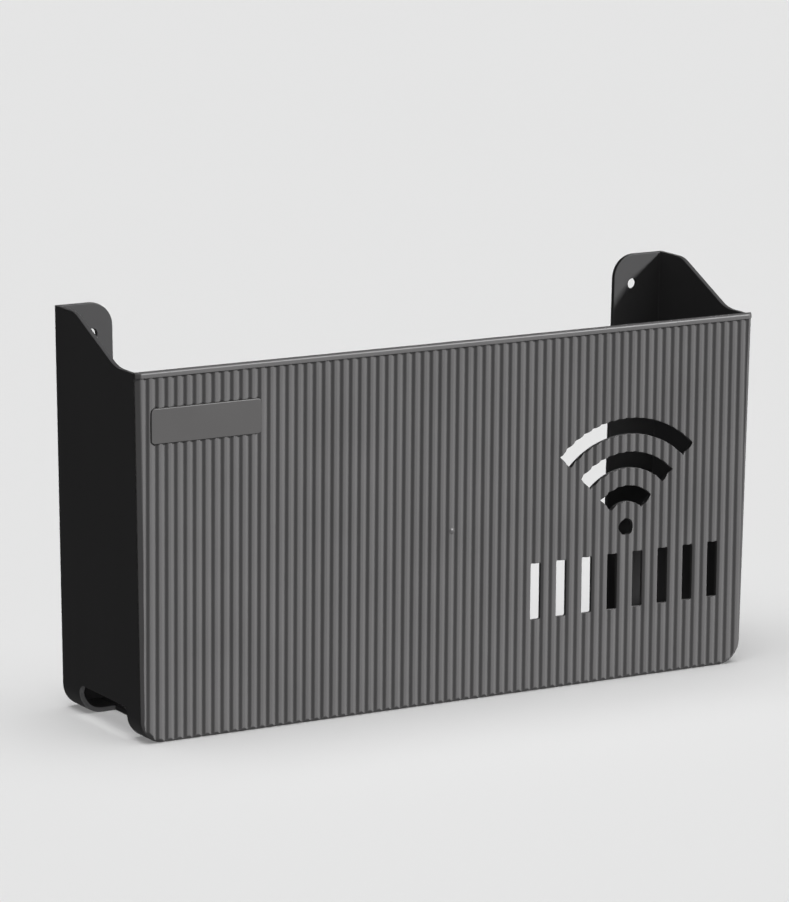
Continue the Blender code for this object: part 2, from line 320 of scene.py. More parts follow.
def edge_scale(x, z):
    """The share of its full width that the edge's chamfer has: less along the bottom than up the sides."""
    across = np.maximum(np.abs(x) - half_width(CORNER_RADIUS) + CORNER_RADIUS, 0)
    down = np.maximum(CORNER_RADIUS - z, 0)
    upright = across**2 / np.maximum(across**2 + down**2, 1e-12)
    in_corner = BOTTOM_SHARE + (1 - BOTTOM_SHARE) * upright
    along_straight = np.where(half_width(z) - np.abs(x) < z, 1.0, BOTTOM_SHARE)
    return np.where(across + down > 0, in_corner, along_straight)


def box_distance(x, z, centre, width, height, corner):
    across = np.abs(x - centre[0]) - width / 2 + corner
    up = np.abs(z - centre[1]) - height / 2 + corner
    outside = np.hypot(np.maximum(across, 0), np.maximum(up, 0))
    return outside + np.minimum(np.maximum(across, up), 0) - corner


def disc_distance(x, z, centre, radius):
    return np.hypot(x - centre[0], z - centre[1]) - radius


def band_distance(x, z, inner):
    """Distance to one arc of the fan, whose ends are cut square to it."""
    across, up = np.abs(x - FAN_X), z - FAN_Z
    sine, cosine = math.sin(FAN_HALF_ANGLE), math.cos(FAN_HALF_ANGLE)
    along = across * sine + up * cosine
    beyond = across * cosine - up * sine
    middle = inner + ARC_WIDTH / 2
    radial = np.abs(np.hypot(across, up) - middle) - ARC_WIDTH / 2
    past_end = np.hypot(beyond, np.maximum(np.abs(along - middle) - ARC_WIDTH / 2, 0))
    return np.where(beyond > 0, past_end, np.maximum(radial, beyond))


def band_outline(inner, offset):
    """The outline of one arc of the fan, grown by an offset."""
    centre = (FAN_X, FAN_Z)
    low = math.pi / 2 - FAN_HALF_ANGLE
    high = math.pi / 2 + FAN_HALF_ANGLE
    outer = inner + ARC_WIDTH
    outline = arc(centre, outer + offset, low, high, ARC_STEPS)
    inner_edge = arc(centre, inner - offset, high, low, ARC_STEPS)
    if not offset:
        return outline + inner_edge
    quarter = math.pi / 2
    turns = [(outer, high, 0), (inner, high, 1), (inner, low, 2), (outer, low, 3)]
    rounds = []
    for radius, angle, turn in turns:
        point = (centre[0] + radius * math.cos(angle), centre[1] + radius * math.sin(angle))
        start = angle + turn * quarter
        rounds.append(arc(point, offset, start, start + quarter, 3)[1:-1])
    return outline + rounds[0] + rounds[1] + inner_edge + rounds[2] + rounds[3]


def slot_centres():
    for index in range(SLOT_COUNT):
        yield FAN_X + (index - (SLOT_COUNT - 1) / 2) * SLOT_PITCH, (SLOT_LOW + SLOT_HIGH) / 2


def pin_centres():
    return [(BADGE_X + side * PIN_SPACING / 2, BADGE_Z) for side in (-1, 1)]


def hole_outlines(offset):
    """The outlines of everything that goes through the front panel, grown by an offset."""
    outlines = [band_outline(inner, offset) for inner in FAN_INNER_RADII]
    outlines.append(circle((FAN_X, FAN_Z), DOT_RADIUS + offset))
    for centre in slot_centres():
        width, height = SLOT_WIDTH + 2 * offset, SLOT_HIGH - SLOT_LOW + 2 * offset
        outlines.append(rectangle(centre, width, height, SLOT_CORNER + offset, 5))
    for centre in pin_centres():
        outlines.append(circle(centre, PIN_RADIUS + POCKET_CLEAR + offset, 20))
    return outlines


def hole_distance(x, z):
    found = disc_distance(x, z, (FAN_X, FAN_Z), DOT_RADIUS)
    for inner in FAN_INNER_RADII:
        found = np.minimum(found, band_distance(x, z, inner))
    for centre in slot_centres():
        slot = box_distance(x, z, centre, SLOT_WIDTH, SLOT_HIGH - SLOT_LOW, SLOT_CORNER)
        found = np.minimum(found, slot)
    for centre in pin_centres():
        found = np.minimum(found, disc_distance(x, z, centre, PIN_RADIUS + POCKET_CLEAR))
    return found


def pocket_outline(inset=0.0):
    clear = 2 * (POCKET_CLEAR - inset)
    corner = BADGE_CORNER + POCKET_CLEAR - inset
    return rectangle((BADGE_X, BADGE_Z), BADGE_WIDTH + clear, BADGE_HEIGHT + clear, corner, 8)


def pocket_distance(x, z):
    clear = 2 * POCKET_CLEAR
    corner = BADGE_CORNER + POCKET_CLEAR
    return box_distance(x, z, (BADGE_X, BADGE_Z), BADGE_WIDTH + clear, BADGE_HEIGHT + clear, corner)


# ---------------------------------------------------------------- the front panel's surface


def edge_drop(inside, reach, drop):
    """How far a surface has fallen back at a distance inside an edge that is rounded over `reach`."""
    left = np.clip(1 - inside / reach, 0, 1)
    return drop * (1 - np.sqrt(1 - left**2))


def edge_fall(x, z):
    """How far the front falls back near the sides and the bottom: a bend, a chamfer and a small rounding."""
    inset = tray_inset(x, z)
    past = np.clip(EDGE_REACH - inset / edge_scale(x, z), 0, None)
    bent = np.minimum(past, EDGE_BEND * math.sin(EDGE_ANGLE))
    bend = EDGE_BEND - np.sqrt(EDGE_BEND**2 - bent**2)
    return bend + (past - bent) * math.tan(EDGE_ANGLE) + edge_drop(inset, EDGE_ROUND, EDGE_ROUND)


def soft_ramp(share, value):
    """0 below -1, the value itself above 1, and a parabola between them."""
    return np.where(share >= 1, value, share**2)


def flute_depth(x):
    """The depth of the grooves, each a blunt V with softened edges."""
    last = FLUTE_COUNT // 2
    index = np.clip(np.round((x - FLUTE_OFFSET) / FLUTE_PITCH), -last, last)
    from_middle = np.abs(x - FLUTE_OFFSET - index * FLUTE_PITCH)
    flank = (from_middle - GROOVE_FLOOR / 2) / ((GROOVE_MOUTH - GROOVE_FLOOR) / 2)
    straight = 1 - flank
    softness = GROOVE_SOFTNESS
    top = np.clip((straight + softness) / (2 * softness), 0, 1)
    bottom = np.clip((straight - 1 + softness) / (2 * softness), 0, 1)
    share = soft_ramp(top, straight / softness) - soft_ramp(bottom, (straight - 1) / softness)
    return FLUTE_DEPTH * softness * share


def front_surface(x, z):
    """The y of the front panel's front at each point of the front view."""
    fall = edge_fall(x, z)
    ribbed = np.maximum(fall, flute_depth(x))
    from_gate = np.hypot(x - GATE_X, z - GATE_Z)
    gate = edge_drop(GATE_RADIUS - from_gate, GATE_RADIUS, FLUTE_DEPTH + GATE_PROUD) - GATE_PROUD
    ribbed = RIB_TOP_Y + np.where(from_gate < GATE_RADIUS, np.minimum(ribbed, gate), ribbed)
    rim = FRONT_Y + fall + edge_drop(z - RIM_LOW, RIM_UNDER_ROUND, RIM_UNDER_ROUND)
    rim = rim + edge_drop(FRONT_HEIGHT - z, RIM_TOP_ROUND, RIM_TOP_ROUND)
    into_rim = np.clip(1 + (z - RIM_LOW) / STEP, 0, 1)
    surface = ribbed + (rim - ribbed) * into_rim
    pocket = pocket_distance(x, z)
    into_pocket = np.clip(-pocket / STEP, 0, 1)
    surface = surface + edge_drop(pocket, HOLE_ROUND, HOLE_ROUND) * (pocket > 0)
    surface = surface + (POCKET_Y - surface) * into_pocket
    return surface + edge_drop(hole_distance(x, z), HOLE_ROUND, HOLE_ROUND)


class Plan:
    """Points and lines of a flat drawing, to be triangulated."""

    def __init__(self):
        self.points = []
        self.lines = []

    def add(self, points, closed=False):
        start = len(self.points)
        self.points += [Vector(point) for point in points]
        count = len(points)
        self.lines += [(start + index, start + index + 1) for index in range(count - 1)]
        if closed:
            self.lines.append((start + count - 1, start))

    def triangles(self):
        # Worked out in millimetres, where the tolerance is a tenth of a micrometre.
        scaled = [point / MM for point in self.points]
        made = delaunay_2d_cdt(scaled, self.lines, [], 0, 1e-4)
        return np.array([tuple(point) for point in made[0]]) * MM, np.array([face for face in made[2]])


def inside_outline(x, z, outline):
    """Even-odd test of points against one closed outline."""
    inside = np.zeros(len(x), bool)
    for (x0, z0), (x1, z1) in zip(outline, outline[1:] + outline[:1]):
        if z0 == z1:
            continue
        crosses = (z0 > z) != (z1 > z)
        inside ^= crosses & (x < (x1 - x0) * (z - z0) / (z1 - z0) + x0)
    return inside


def groove_lines(plan):
    """Lines down each groove's flanks, which run out past the lower outline."""
    for index in range(FLUTE_COUNT):
        centre = FLUTE_OFFSET + (index - FLUTE_COUNT // 2) * FLUTE_PITCH
        for share in FLANK_SHARES:
            reach = max(GROOVE_FLOOR + (GROOVE_MOUTH - GROOVE_FLOOR) * share, 0) / 2
            for x in sorted({centre - reach, centre + reach}):
                plan.add([(x, RIM_LOW), (x, -MM)])


def front_plan():
    """The front view with a line wherever the front panel's surface bends."""
    plan = Plan()
    plan.add(tray_outline(), closed=True)
    for share in EDGE_ROUND_LINES:
        plan.add(tray_outline(share * EDGE_ROUND))
    for share in CHAMFER_LINES:
        plan.add(tray_outline(share * EDGE_REACH))
    levels = [RIM_LOW - STEP, RIM_LOW]
    levels += [RIM_LOW + share * RIM_UNDER_ROUND for share in RIM_UNDER_LINES]
    levels += [FRONT_HEIGHT - share * RIM_TOP_ROUND for share in RIM_TOP_LINES]
    for level in levels:
        reach = half_width(level)
        plan.add([(-reach, level), (reach, level)])
    groove_lines(plan)
    for share in HOLE_LINES:
        for outline in hole_outlines(share * HOLE_ROUND):
            plan.add(outline, closed=True)
    for inset in (-HOLE_ROUND, -0.4 * HOLE_ROUND, -0.1 * HOLE_ROUND, 0.0, STEP):
        plan.add(pocket_outline(inset), closed=True)
    for share in GATE_LINES:
        plan.add(circle((GATE_X, GATE_Z), share * GATE_RADIUS, 24), closed=True)
    return plan


def slope_normals(x, z, towards_x, towards_z):
    """Normals of the front surface at points, each taken a hair towards the middle of its own face."""
    nudge, span = SAMPLE_NUDGE, SAMPLE_SPAN
    length = np.maximum(np.hypot(towards_x - x, towards_z - z), 1e-9)
    x = x + (towards_x - x) / length * nudge
    z = z + (towards_z - z) / length * nudge
    along_x = (front_surface(x + span, z) - front_surface(x - span, z)) / (2 * span)
    along_z = (front_surface(x, z + span) - front_surface(x, z - span)) / (2 * span)
    normals = np.stack([along_x, -np.ones_like(x), along_z], axis=1)
    return normals / np.linalg.norm(normals, axis=1)[:, None]


def boundary_edges(faces):
    """The directed edges that only one triangle has."""
    ends = np.concatenate([faces[:, [0, 1]], faces[:, [1, 2]], faces[:, [2, 0]]])
    keys = {(int(a), int(b)) for a, b in ends}
    return [(a, b) for a, b in sorted(keys) if (b, a) not in keys]


def wall_normal(point, other):
    """The outward normal of the cut edge's wall, at a point of it, on the side of `other`."""
    nudge, span = SAMPLE_NUDGE, SAMPLE_SPAN
    direction = (Vector(other) - Vector(point)).normalized()
    x, z = Vector(point) + direction * nudge
    if FRONT_HEIGHT - z < AT_TOP:
        return (0.0, 0.0, 1.0)

    def inside(px, pz):
        return min(float(tray_inset(px, pz)), float(hole_distance(px, pz)))

    along_x = inside(x + span, z) - inside(x - span, z)
    along_z = inside(x, z + span) - inside(x, z - span)
    return tuple(-Vector((along_x, 0.0, along_z)).normalized())


class Shell:
    """Faces with a normal at each corner, gathered into one mesh."""

    def __init__(self):
        self.points = []
        self.index = {}
        self.faces = []
        self.normals = []

    def point(self, x, y, z):
        key = (round(x / MM, 5), round(y / MM, 5), round(z / MM, 5))
        if key not in self.index:
            self.index[key] = len(self.points)
            self.points.append((x, y, z))
        return self.index[key]

    def face(self, corners, normals):
        ids = [self.point(*corner) for corner in corners]
        if len(set(ids)) < len(ids):
            kept = [i for i in range(len(ids)) if ids[i] not in ids[:i]]
            if len(kept) < 3:
                return
            ids = [ids[i] for i in kept]
            normals = [normals[i] for i in kept]
        self.faces.append(ids)
        self.normals += [tuple(normal) for normal in normals]

    def object(self, name):
        mesh = bpy.data.meshes.new(name)
        mesh.from_pydata(self.points, [], self.faces)
        mesh.polygons.foreach_set("use_smooth", [True] * len(mesh.polygons))
        mesh.normals_split_custom_set(self.normals)
        return added(name, mesh)


def rail_outlines():
    """The footprints of the locating rails on the front panel's back."""
    outlines = []
    for side in (-1, 1):
        outline = []
        for z, inset in ((RAIL_LOW, 0), (RAIL_HIGH, 0), (RAIL_HIGH, RAIL), (RAIL_LOW, RAIL)):
            outline.append((side * (half_width(z) - WALL - GAP - inset), z))
        outlines.append(outline if side > 0 else outline[::-1])
    return outlines


def add_rail(shell, outline):
    """One rail standing on the panel's back, with its top edges broken."""
    middle = Vector((sum(p[0] for p in outline) / 4, sum(p[1] for p in outline) / 4))
    inner = []
    for point in outline:
        towards = Vector((math.copysign(1, middle.x - point[0]), math.copysign(1, middle.y - point[1])))
        inner.append(tuple(Vector(point) + towards * RAIL_CHAMFER))
    top = PANEL_BACK_Y + RAIL_DEPTH
    rings = [(outline, PANEL_BACK_Y), (outline, top - RAIL_CHAMFER), (inner, top)]
    for (first, y0), (second, y1) in zip(rings, rings[1:]):
        for index in range(4):
            after = (index + 1) % 4
            corners = [
                (first[index][0], y0, first[index][1]),
                (second[index][0], y1, second[index][1]),
                (second[after][0], y1, second[after][1]),
                (first[after][0], y0, first[after][1]),
            ]
            normal = (Vector(corners[1]) - Vector(corners[0])).cross(Vector(corners[3]) - Vector(corners[0]))
            shell.face(corners, [normal.normalized()] * 4)
    shell.face([(x, top, z) for x, z in reversed(inner)], [(0, 1, 0)] * 4)


def front_panel():
    points, faces = front_plan().triangles()
    middles = points[faces].mean(axis=1)
    keep = inside_outline(middles[:, 0], middles[:, 1], tray_outline())
    for outline in hole_outlines(0):
        keep &= ~inside_outline(middles[:, 0], middles[:, 1], outline)
    faces, middles = faces[keep], middles[keep]
    x, z = points[:, 0], points[:, 1]
    y = front_surface(x, z)
    shell = Shell()
    corner_normals = [
        slope_normals(x[faces[:, k]], z[faces[:, k]], middles[:, 0], middles[:, 1]) for k in range(3)
    ]
    for row, face in enumerate(faces):
        corners = [(x[i], y[i], z[i]) for i in face]
        shell.face(corners, [corner_normals[k][row] for k in range(3)])
    rim = boundary_edges(faces)
    for a, b in rim:
        first, second = (x[a], z[a]), (x[b], z[b])
        normals = [wall_normal(first, second), wall_normal(second, first)]
        corners = [
            (x[b], y[b], z[b]),
            (x[a], y[a], z[a]),
            (x[a], PANEL_BACK_Y, z[a]),
            (x[b], PANEL_BACK_Y, z[b]),
        ]
        shell.face(corners, [normals[1], normals[0], normals[0], normals[1]])
    add_back(shell, x, z, rim)
    return shell.object("front_panel_fluted")


def add_back(shell, x, z, rim):
    """The flat back, with the rails standing on it."""
    plan = Plan()
    number = {}
    for a, b in rim:
        for end in (a, b):
            if end not in number:
                number[end] = len(plan.points)
                plan.points.append(Vector((x[end], z[end])))
        plan.lines.append((number[a], number[b]))
    for outline in rail_outlines():
        plan.add(outline, closed=True)
    points, faces = plan.triangles()
    middles = points[faces].mean(axis=1)
    keep = inside_outline(middles[:, 0], middles[:, 1], tray_outline())
    for outline in hole_outlines(0) + rail_outlines():
        keep &= ~inside_outline(middles[:, 0], middles[:, 1], outline)
    for face in faces[keep]:
        corners = [(points[i][0], PANEL_BACK_Y, points[i][1]) for i in reversed(face)]
        shell.face(corners, [(0, 1, 0)] * 3)
    for outline in rail_outlines():
        add_rail(shell, outline)


# ---------------------------------------------------------------- solid pieces


def place(point, axis, level):
    a, b = point
    return {"X": (level, a, b), "Y": (a, level, b), "Z": (a, b, level)}[axis]


def prism(name, outlines, axis, low, high):
    """One object that holds the outlines, each extruded along axis from low to high."""
    mesh = bmesh.new()
    for outline in outlines:
        rings = [[mesh.verts.new(place(point, axis, level)) for point in outline] for level in (low, high)]
        mesh.faces.new(rings[0])
        mesh.faces.new(list(reversed(rings[1])))
        for index in range(len(outline)):
            after = (index + 1) % len(outline)
            mesh.faces.new((rings[0][index], rings[1][index], rings[1][after], rings[0][after]))
    bmesh.ops.recalc_face_normals(mesh, faces=mesh.faces)
    return added_mesh(name, mesh)


def baked(made):
    """The object with its modifiers applied."""
    graph = bpy.context.evaluated_depsgraph_get()
    mesh = bpy.data.meshes.new_from_object(made.evaluated_get(graph))
    made.modifiers.clear()
    made.data = mesh
    return made


def combine(target, other, operation):
    step = target.modifiers.new(operation.lower(), "BOOLEAN")
    step.operation = operation
    step.object = other
    step.solver = "EXACT"
    baked(target)
    bpy.data.objects.remove(other, do_unlink=True)


def merge_flat_faces(made):
    mesh = bmesh.new()
    mesh.from_mesh(made.data)
    bmesh.ops.remove_doubles(mesh, verts=mesh.verts, dist=SAME_PLACE)
    bmesh.ops.dissolve_limit(mesh, angle_limit=FLAT_ANGLE, verts=mesh.verts, edges=mesh.edges)
    mesh.to_mesh(made.data)
    mesh.free()


def split_flange(made, level):
    """Divides the flange's two flat faces at a level, so that the screw hole opens between halves."""
    mesh = bmesh.new()
    mesh.from_mesh(made.data)
    flat = [f for f in mesh.faces if abs(f.normal.y) > 0.9 and f.calc_center_median().y > FLANGE_Y - STEP]
    parts = set(flat)
    for face in flat:
        parts.update(face.edges)
        parts.update(face.verts)
    bmesh.ops.bisect_plane(mesh, geom=list(parts), plane_co=(0, 0, level), plane_no=(0, 0, 1))
    mesh.to_mesh(made.data)
    mesh.free()


def soften(made, radius_of, segments=4):
    """Rounds each sharp edge by the radius that radius_of gives for its two ends."""
    mesh = bmesh.new()
    mesh.from_mesh(made.data)
    bmesh.ops.remove_doubles(mesh, verts=mesh.verts, dist=SAME_PLACE)
    weight = mesh.edges.layers.float.new("bevel_weight_edge")
    for edge in mesh.edges:
        if edge.calc_face_angle(0) > SHARP_ANGLE:
            edge[weight] = radius_of(*[end.co for end in edge.verts]) / BACK_EDGE_ROUND
            edge.smooth = edge[weight] > 0
    mesh.to_mesh(made.data)
    mesh.free()
    made.data.polygons.foreach_set("use_smooth", [True] * len(made.data.polygons))
    step = made.modifiers.new("rounding", "BEVEL")
    step.limit_method = "WEIGHT"
    step.width = BACK_EDGE_ROUND
    step.segments = segments
    step.use_clamp_overlap = False
    step.harden_normals = True
    return baked(made)


def badge_plate():
    """A blank plate with a softened front edge, on two pins that pass through the front panel."""
    back = POCKET_Y - GAP
    outline = rectangle((BADGE_X, BADGE_Z), BADGE_WIDTH, BADGE_HEIGHT, BADGE_CORNER, 8)
    plate = prism("badge_plate_blank", [outline], "Y", FRONT_Y, back)
    pins = [circle(centre, PIN_RADIUS, 24) for centre in pin_centres()]
    combine(plate, prism("pins", pins, "Y", back - PIN_SINK, PANEL_BACK_Y - GAP), "UNION")

    def radius_of(one, other):
        at_front = max(one.y, other.y) < FRONT_Y + STEP
        at_pin_end = min(one.y, other.y) > PANEL_BACK_Y - GAP - STEP
        if at_front:
            return BADGE_ROUND
        return PIN_END_ROUND if at_pin_end else 0.0

    return soften(plate, radius_of, 5)


def side_block(side):
    """A side panel's outer form: the rear flange's outline, run forward to the front panel."""
    corners = [
        ((half_width(0) - FLANGE_WIDTH, 0.0), 0),
        ((half_width(0), 0.0), CORNER_RADIUS),
        ((half_width(HEIGHT), HEIGHT), 0),
        ((half_width(HEIGHT) - FLANGE_WIDTH, HEIGHT), EAR_CORNER),
    ]
    name = "left_side_shell" if side < 0 else "right_side_shell"
    return prism(name, [mirrored(rounded_outline(corners, 16), side)], "Y", WALL_FRONT_Y, BACK_Y)


def side_cavity(side):
    """The space inside the wall, its return and its flange."""
    top = HEIGHT + REACH
    inner = half_width(0) - FLANGE_WIDTH - REACH
    corners = [
        ((inner, WALL), 0),
        ((half_width(0) - WALL, WALL), CORNER_RADIUS - WALL),
        ((half_width(top) - WALL, top), 0),
        ((inner, top), 0),
    ]
    outline = mirrored(rounded_outline(corners, 16), side)
    return prism("cavity", [outline], "Y", WALL_FRONT_Y - REACH, FLANGE_Y)


def floor_space(side):
    """The room for the floor panel between the two returns, in front of the flanges."""
    inner = half_width(0) - FLANGE_WIDTH - REACH
    outline = [(inner, -REACH), (RETURN_EDGE, -REACH), (RETURN_EDGE, WALL + GAP), (inner, WALL + GAP)]
    return prism("floor_space", [mirrored(outline, side)], "Y", WALL_FRONT_Y - REACH, FLANGE_Y)


def ear_cutter(side):
    """What is cut from the wall to leave its level top edge and the rounded slope up to the ear."""
    front, top = WALL_FRONT_Y - REACH, HEIGHT + REACH
    foot, shoulder = (EAR_SLOPE_END_Y, SIDE_HEIGHT), (BACK_Y - EAR_TOP_DEPTH, HEIGHT)
    outline = [(front, SIDE_HEIGHT)]
    outline += fillet(foot, (front, SIDE_HEIGHT), shoulder, EAR_FOOT_ROUND)
    outline += fillet(shoulder, foot, (BACK_Y, HEIGHT), EAR_SHOULDER_ROUND)
    outline += [(outline[-1][0], top), (front, top)]
    levels = sorted((side * (half_width(0) - FLANGE_WIDTH - REACH), side * (WIDTH / 2 + REACH)))
    return prism("slope", [outline], "X", *levels)


def notch_cutter(side):
    corners = [
        ((NOTCH_FRONT_Y, -REACH), 0),
        ((NOTCH_BACK_Y, -REACH), 0),
        ((NOTCH_BACK_Y, NOTCH_TOP), NOTCH_BACK_RADIUS),
        ((NOTCH_FRONT_Y, NOTCH_TOP), NOTCH_FRONT_RADIUS),
    ]
    levels = sorted((side * (RETURN_EDGE - REACH), side * (WIDTH / 2 + REACH)))
    return prism("notch", [rounded_outline(corners)], "X", *levels)


def side_panel(side):
    panel = side_block(side)
    round_hole = circle((side * SCREW_X, SCREW_Z), SCREW_RADIUS, 40)
    hole = prism("hole", [round_hole], "Y", FLANGE_Y - REACH, BACK_Y + REACH)
    for cutter in (side_cavity(side), floor_space(side), ear_cutter(side), notch_cutter(side)):
        combine(panel, cutter, "DIFFERENCE")
    merge_flat_faces(panel)
    split_flange(panel, SCREW_Z)
    combine(panel, hole, "DIFFERENCE")

    def on_outer_face(point):
        return tray_inset(point.x, point.z) < STEP

    def radius_of(one, other):
        if max(one.y, other.y) < WALL_FRONT_Y + STEP:
            return 0.0
        at_back = min(one.y, other.y) > BACK_Y - STEP
        if at_back and on_outer_face(one) and on_outer_face(other):
            return BACK_EDGE_ROUND
        return THIN_EDGE_ROUND

    return soften(panel, radius_of)


def floor_panel():
    """A flat plate between the side panels, its rear corners cut back, with a tab on each return."""
    rear_half, step_y = half_width(0) - FLANGE_WIDTH - SEAM, FLANGE_Y - SEAM
    right = [(FLOOR_HALF, WALL_FRONT_Y), (FLOOR_HALF, step_y), (rear_half, step_y), (rear_half, BACK_Y)]
    left = [(-x, y) for x, y in reversed(right)]
    panel = prism("floor_plate_tabbed", [right + left], "Z", 0.0, WALL)
    clear = WALL + GAP
    steps = [
        (TAB_INNER, WALL / 2),
        (FLOOR_HALF, WALL / 2),
        (FLOOR_HALF, clear),
        (TAB_OUTER, clear),
        (TAB_OUTER, clear + WALL),
        (TAB_INNER, clear + WALL),
    ]
    tabs = [mirrored(steps, side) for side in (-1, 1)]
    combine(panel, prism("tabs", tabs, "Y", WALL_FRONT_Y + GAP, NOTCH_FRONT_Y - GAP), "UNION")
    merge_flat_faces(panel)

    def radius_of(one, other):
        at_front = max(one.y, other.y) < WALL_FRONT_Y + STEP
        return 0.0 if at_front else FLOOR_EDGE_ROUND

    return soften(panel, radius_of, 3)


# ---------------------------------------------------------------- materials


class Nodes:
    """Short names for the nodes of one material."""

    def __init__(self, name):
        self.material = bpy.data.materials.new(name)
        self.material.use_nodes = True
        self.tree = self.material.node_tree
        self.shader = self.tree.nodes["Principled BSDF"]
        self.place = self.new("ShaderNodeTexCoord").outputs["Object"]

    def new(self, kind, **settings):
        node = self.tree.nodes.new(kind)
        for name, value in settings.items():
            setattr(node, name, value)
        return node

    def link(self, output, target):
        self.tree.links.new(output, target)

    def noise(self, scale, detail=3.0, stretch=(1, 1, 1), roughness=0.5):
        mapping = self.new("ShaderNodeMapping")
        mapping.inputs["Scale"].default_value = stretch
        self.link(self.place, mapping.inputs["Vector"])
        node = self.new("ShaderNodeTexNoise")
        self.link(mapping.outputs["Vector"], node.inputs["Vector"])
        node.inputs["Scale"].default_value = scale
        node.inputs["Detail"].default_value = detail
        node.inputs["Roughness"].default_value = roughness
        return node.outputs["Fac"]

    def ranged(self, value, low, high, to_low, to_high):
        node = self.new("ShaderNodeMapRange")
        self.link(value, node.inputs["Value"])
        for name, number in zip(("From Min", "From Max", "To Min", "To Max"), (low, high, to_low, to_high)):
            node.inputs[name].default_value = number
        return node.outputs["Result"]

    def maths(self, operation, one, two):
        node = self.new("ShaderNodeMath", operation=operation)
        for index, value in enumerate((one, two)):
            if isinstance(value, float):
                node.inputs[index].default_value = value
            else:
                self.link(value, node.inputs[index])
        return node.outputs["Value"]

    def blend(self, share, dark, light):
        node = self.new("ShaderNodeMix", data_type="RGBA")
        self.link(share, node.inputs["Factor"])
        for name, colour in (("A", dark), ("B", light)):
            socket = next(s for s in node.inputs if s.name == name and s.type == "RGBA")
            if isinstance(colour, tuple):
                socket.default_value = (*colour, 1.0)
            else:
                self.link(colour, socket)
        return next(s for s in node.outputs if s.type == "RGBA")

    def edges(self, radius):
        """1 on an edge sharper than the radius, 0 on flat ground."""
        rounded = self.new("ShaderNodeBevel", samples=4)
        rounded.inputs["Radius"].default_value = radius
        true = self.new("ShaderNodeNewGeometry")
        product = self.new("ShaderNodeVectorMath", operation="DOT_PRODUCT")
        self.link(rounded.outputs["Normal"], product.inputs[0])
        self.link(true.outputs["Normal"], product.inputs[1])
        return self.ranged(product.outputs["Value"], 0.99, 0.75, 0.0, 1.0)


def shade(colour, factor):
    return tuple(part * factor for part in colour)


def moulded_plastic(name, colour, roughness, grain):
    """Satin moulded plastic: spark-eroded grain, faint flow streaks, and edges rubbed smooth."""
    made = Nodes(name)
    cloud = made.noise(22.0, 4.0)
    streaks = made.noise(60.0, 3.0, (1.0, 1.0, 0.12))
    tone = made.maths("ADD", made.maths("MULTIPLY", cloud, 0.6), made.maths("MULTIPLY", streaks, 0.4))
    tone = made.ranged(tone, 0.35, 0.65, 0.0, 1.0)
    body = made.blend(tone, shade(colour, 0.955), shade(colour, 1.045))
    speckle = made.ranged(made.noise(2400.0, 2.0), 0.3, 0.7, 0.0, 1.0)
    body = made.blend(made.maths("MULTIPLY", speckle, 0.25), body, shade(colour, 1.12))
    worn = made.maths("MULTIPLY", made.edges(WEAR_WIDTH), made.ranged(made.noise(160.0), 0.4, 0.65, 0.0, 1.0))
    worn = made.maths("MULTIPLY", worn, 0.35)
    made.link(made.blend(worn, body, shade(colour, 1.6)), made.shader.inputs["Base Color"])
    patchy = made.ranged(made.noise(45.0, 5.0), 0.3, 0.7, roughness - 0.035, roughness + 0.035)
    rubbed = made.maths("SUBTRACT", patchy, made.maths("MULTIPLY", worn, 0.25))
    made.link(rubbed, made.shader.inputs["Roughness"])
    coarse = made.noise(2600.0, 3.0, roughness=0.6)
    fine = made.noise(7000.0, 2.0)
    height = made.maths("ADD", coarse, made.maths("MULTIPLY", fine, 0.4))
    bump = made.new("ShaderNodeBump")
    bump.inputs["Strength"].default_value = grain
    bump.inputs["Distance"].default_value = GRAIN_HEIGHT
    made.link(height, bump.inputs["Height"])
    made.link(bump.outputs["Normal"], made.shader.inputs["Normal"])
    made.shader.inputs["IOR"].default_value = 1.5
    return made.material


def floor_paint(name, colour):
    """Pale matt ground with a barely visible unevenness."""
    made = Nodes(name)
    cloud = made.ranged(made.noise(3.0, 2.0), 0.3, 0.7, 0.0, 1.0)
    made.link(made.blend(cloud, shade(colour, 0.998), shade(colour, 1.002)), made.shader.inputs["Base Color"])
    made.shader.inputs["Roughness"].default_value = 1.0
    made.shader.inputs["Specular IOR Level"].default_value = 0.0
    return made.material


def glow(name, colour, strength):
    made = bpy.data.materials.new(name)
    made.use_nodes = True
    tree = made.node_tree
    tree.nodes.remove(tree.nodes["Principled BSDF"])
    emission = tree.nodes.new("ShaderNodeEmission")
    emission.inputs["Color"].default_value = (*colour, 1.0)
    emission.inputs["Strength"].default_value = strength
    tree.links.new(emission.outputs["Emission"], tree.nodes["Material Output"].inputs["Surface"])
    return made


# ---------------------------------------------------------------- stage, lights and camera


def seen_only_by_camera(made):
    made.visible_diffuse = False
    made.visible_glossy = False
    made.visible_transmission = False
    made.visible_shadow = False


def disc(name, radius):
    """A round ground at level 0."""
    mesh = bmesh.new()
    bmesh.ops.create_circle(mesh, cap_ends=True, segments=64, radius=radius)
    return added_mesh(name, mesh)


def backdrop(name, radius):
    """A ball that faces inwards, round the whole stage."""
    mesh = bmesh.new()
    bmesh.ops.create_uvsphere(mesh, u_segments=48, v_segments=24, radius=radius)
    bmesh.ops.reverse_faces(mesh, faces=mesh.faces)
    return added_mesh(name, mesh)


def group(name, objects):
    made = bpy.data.collections.new(name)
    for member in objects:
        made.objects.link(member)
    return made


def sun(name, towards, energy, angle, lit):
    """Light that travels along `towards`, as wide as `angle` in degrees, only on the objects of `lit`."""
    data = bpy.data.lights.new(name, "SUN")
    data.energy = energy
    data.angle = math.radians(angle)
    made = added(name, data)
    made.rotation_mode = "QUATERNION"
    made.rotation_quaternion = Vector(towards).to_track_quat("-Z", "Y")
    made.light_linking.receiver_collection = lit
    return made


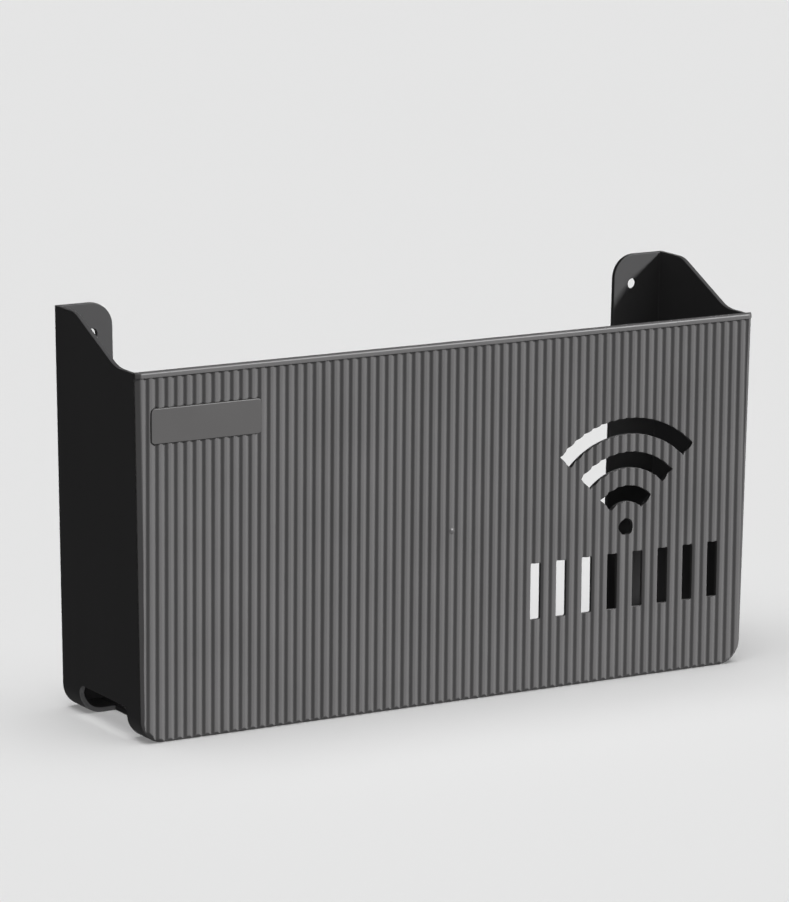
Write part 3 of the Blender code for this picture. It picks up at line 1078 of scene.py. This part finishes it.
def light_the_stage(front, sides, base, ground):
    """Each group of panels has its own share of the key, bounce and back lights."""
    world = bpy.data.worlds.new("studio")
    world.use_nodes = True
    shader = world.node_tree.nodes["Background"]
    shader.inputs["Color"].default_value = (*WHITE, 1.0)
    shader.inputs["Strength"].default_value = AMBIENT
    bpy.context.scene.world = world
    shares = ((front, 5.4, 0.75, 3.2), (sides, 3.5, 1.2, 2.4), (base, 3.5, 1.2, 0.6))
    for lit, key, bounce, back in shares:
        sun("key", KEY_WAY, key, 7, lit)
        sun("bounce", BOUNCE_WAY, bounce, 25, lit)
        sun("back", BACK_WAY, back, 30, lit).visible_glossy = False
    sun("left", (1.0, 0.3, -0.6), 0.15, 40, sides).visible_glossy = False
    sun("fill", (0.1, 1.0, -0.35), 0.3, 60, sides).visible_glossy = False
    sun("ground", (0.15, 0.1, -1.0), 1.23, 60, ground)
    sun("ground_flat", (0, 0, -1.0), 1.75, 60, ground).data.use_shadow = False
    bpy.context.scene.view_settings.view_transform = "Standard"


def add_camera():
    yaw, pitch, roll = CAMERA_YAW, CAMERA_PITCH, CAMERA_ROLL
    ahead = Vector((math.sin(yaw) * math.cos(pitch), math.cos(yaw) * math.cos(pitch), -math.sin(pitch)))
    level_right = Vector((math.cos(yaw), -math.sin(yaw), 0))
    level_down = ahead.cross(level_right)
    right = level_right * math.cos(roll) + level_down * math.sin(roll)
    down = level_down * math.cos(roll) - level_right * math.sin(roll)
    data = bpy.data.cameras.new("camera")
    data.lens = CAMERA_LENS
    data.sensor_width = CAMERA_SENSOR
    data.clip_end = CAMERA_REACH
    made = added("camera", data)
    turn = Matrix((right, -down, -ahead)).transposed()
    made.matrix_world = Matrix.Translation(CAMERA_PLACE) @ turn.to_4x4()
    bpy.context.scene.camera = made


# ---------------------------------------------------------------- the model


def ride_for(piece, node, material):
    piece.data.materials.clear()
    piece.data.materials.append(material)
    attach(piece, "root")
    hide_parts(node)
    return piece


front_material = moulded_plastic("front_moulding", FRONT_COLOUR, roughness=0.46, grain=0.35)
side_material = moulded_plastic("side_moulding", SIDE_COLOUR, roughness=0.56, grain=0.35)
floor_material = moulded_plastic("floor_moulding", SIDE_COLOUR, roughness=0.58, grain=0.35)
badge_material = moulded_plastic("badge_moulding", BADGE_COLOUR, roughness=0.46, grain=0.2)

shown = [
    ride_for(front_panel(), "front_panel", front_material),
    ride_for(badge_plate(), "badge_plate", badge_material),
    ride_for(side_panel(-1), "left_side_panel", side_material),
    ride_for(side_panel(1), "right_side_panel", side_material),
    ride_for(floor_panel(), "floor_panel", floor_material),
]

ground = disc("pale_floor", STAGE_RADIUS)
ground.data.materials.append(floor_paint("pale_ground", GROUND_COLOUR))
surround = backdrop("pale_surround", STAGE_RADIUS)
surround.data.materials.append(glow("pale_air", WHITE, SURROUND_GLOW))
for prop in (ground, surround):
    seen_only_by_camera(prop)

light_the_stage(
    front=group("front", shown[:2]),
    sides=group("sides", shown[2:4]),
    base=group("base", shown[4:]),
    ground=group("ground", [ground]),
)
add_camera()
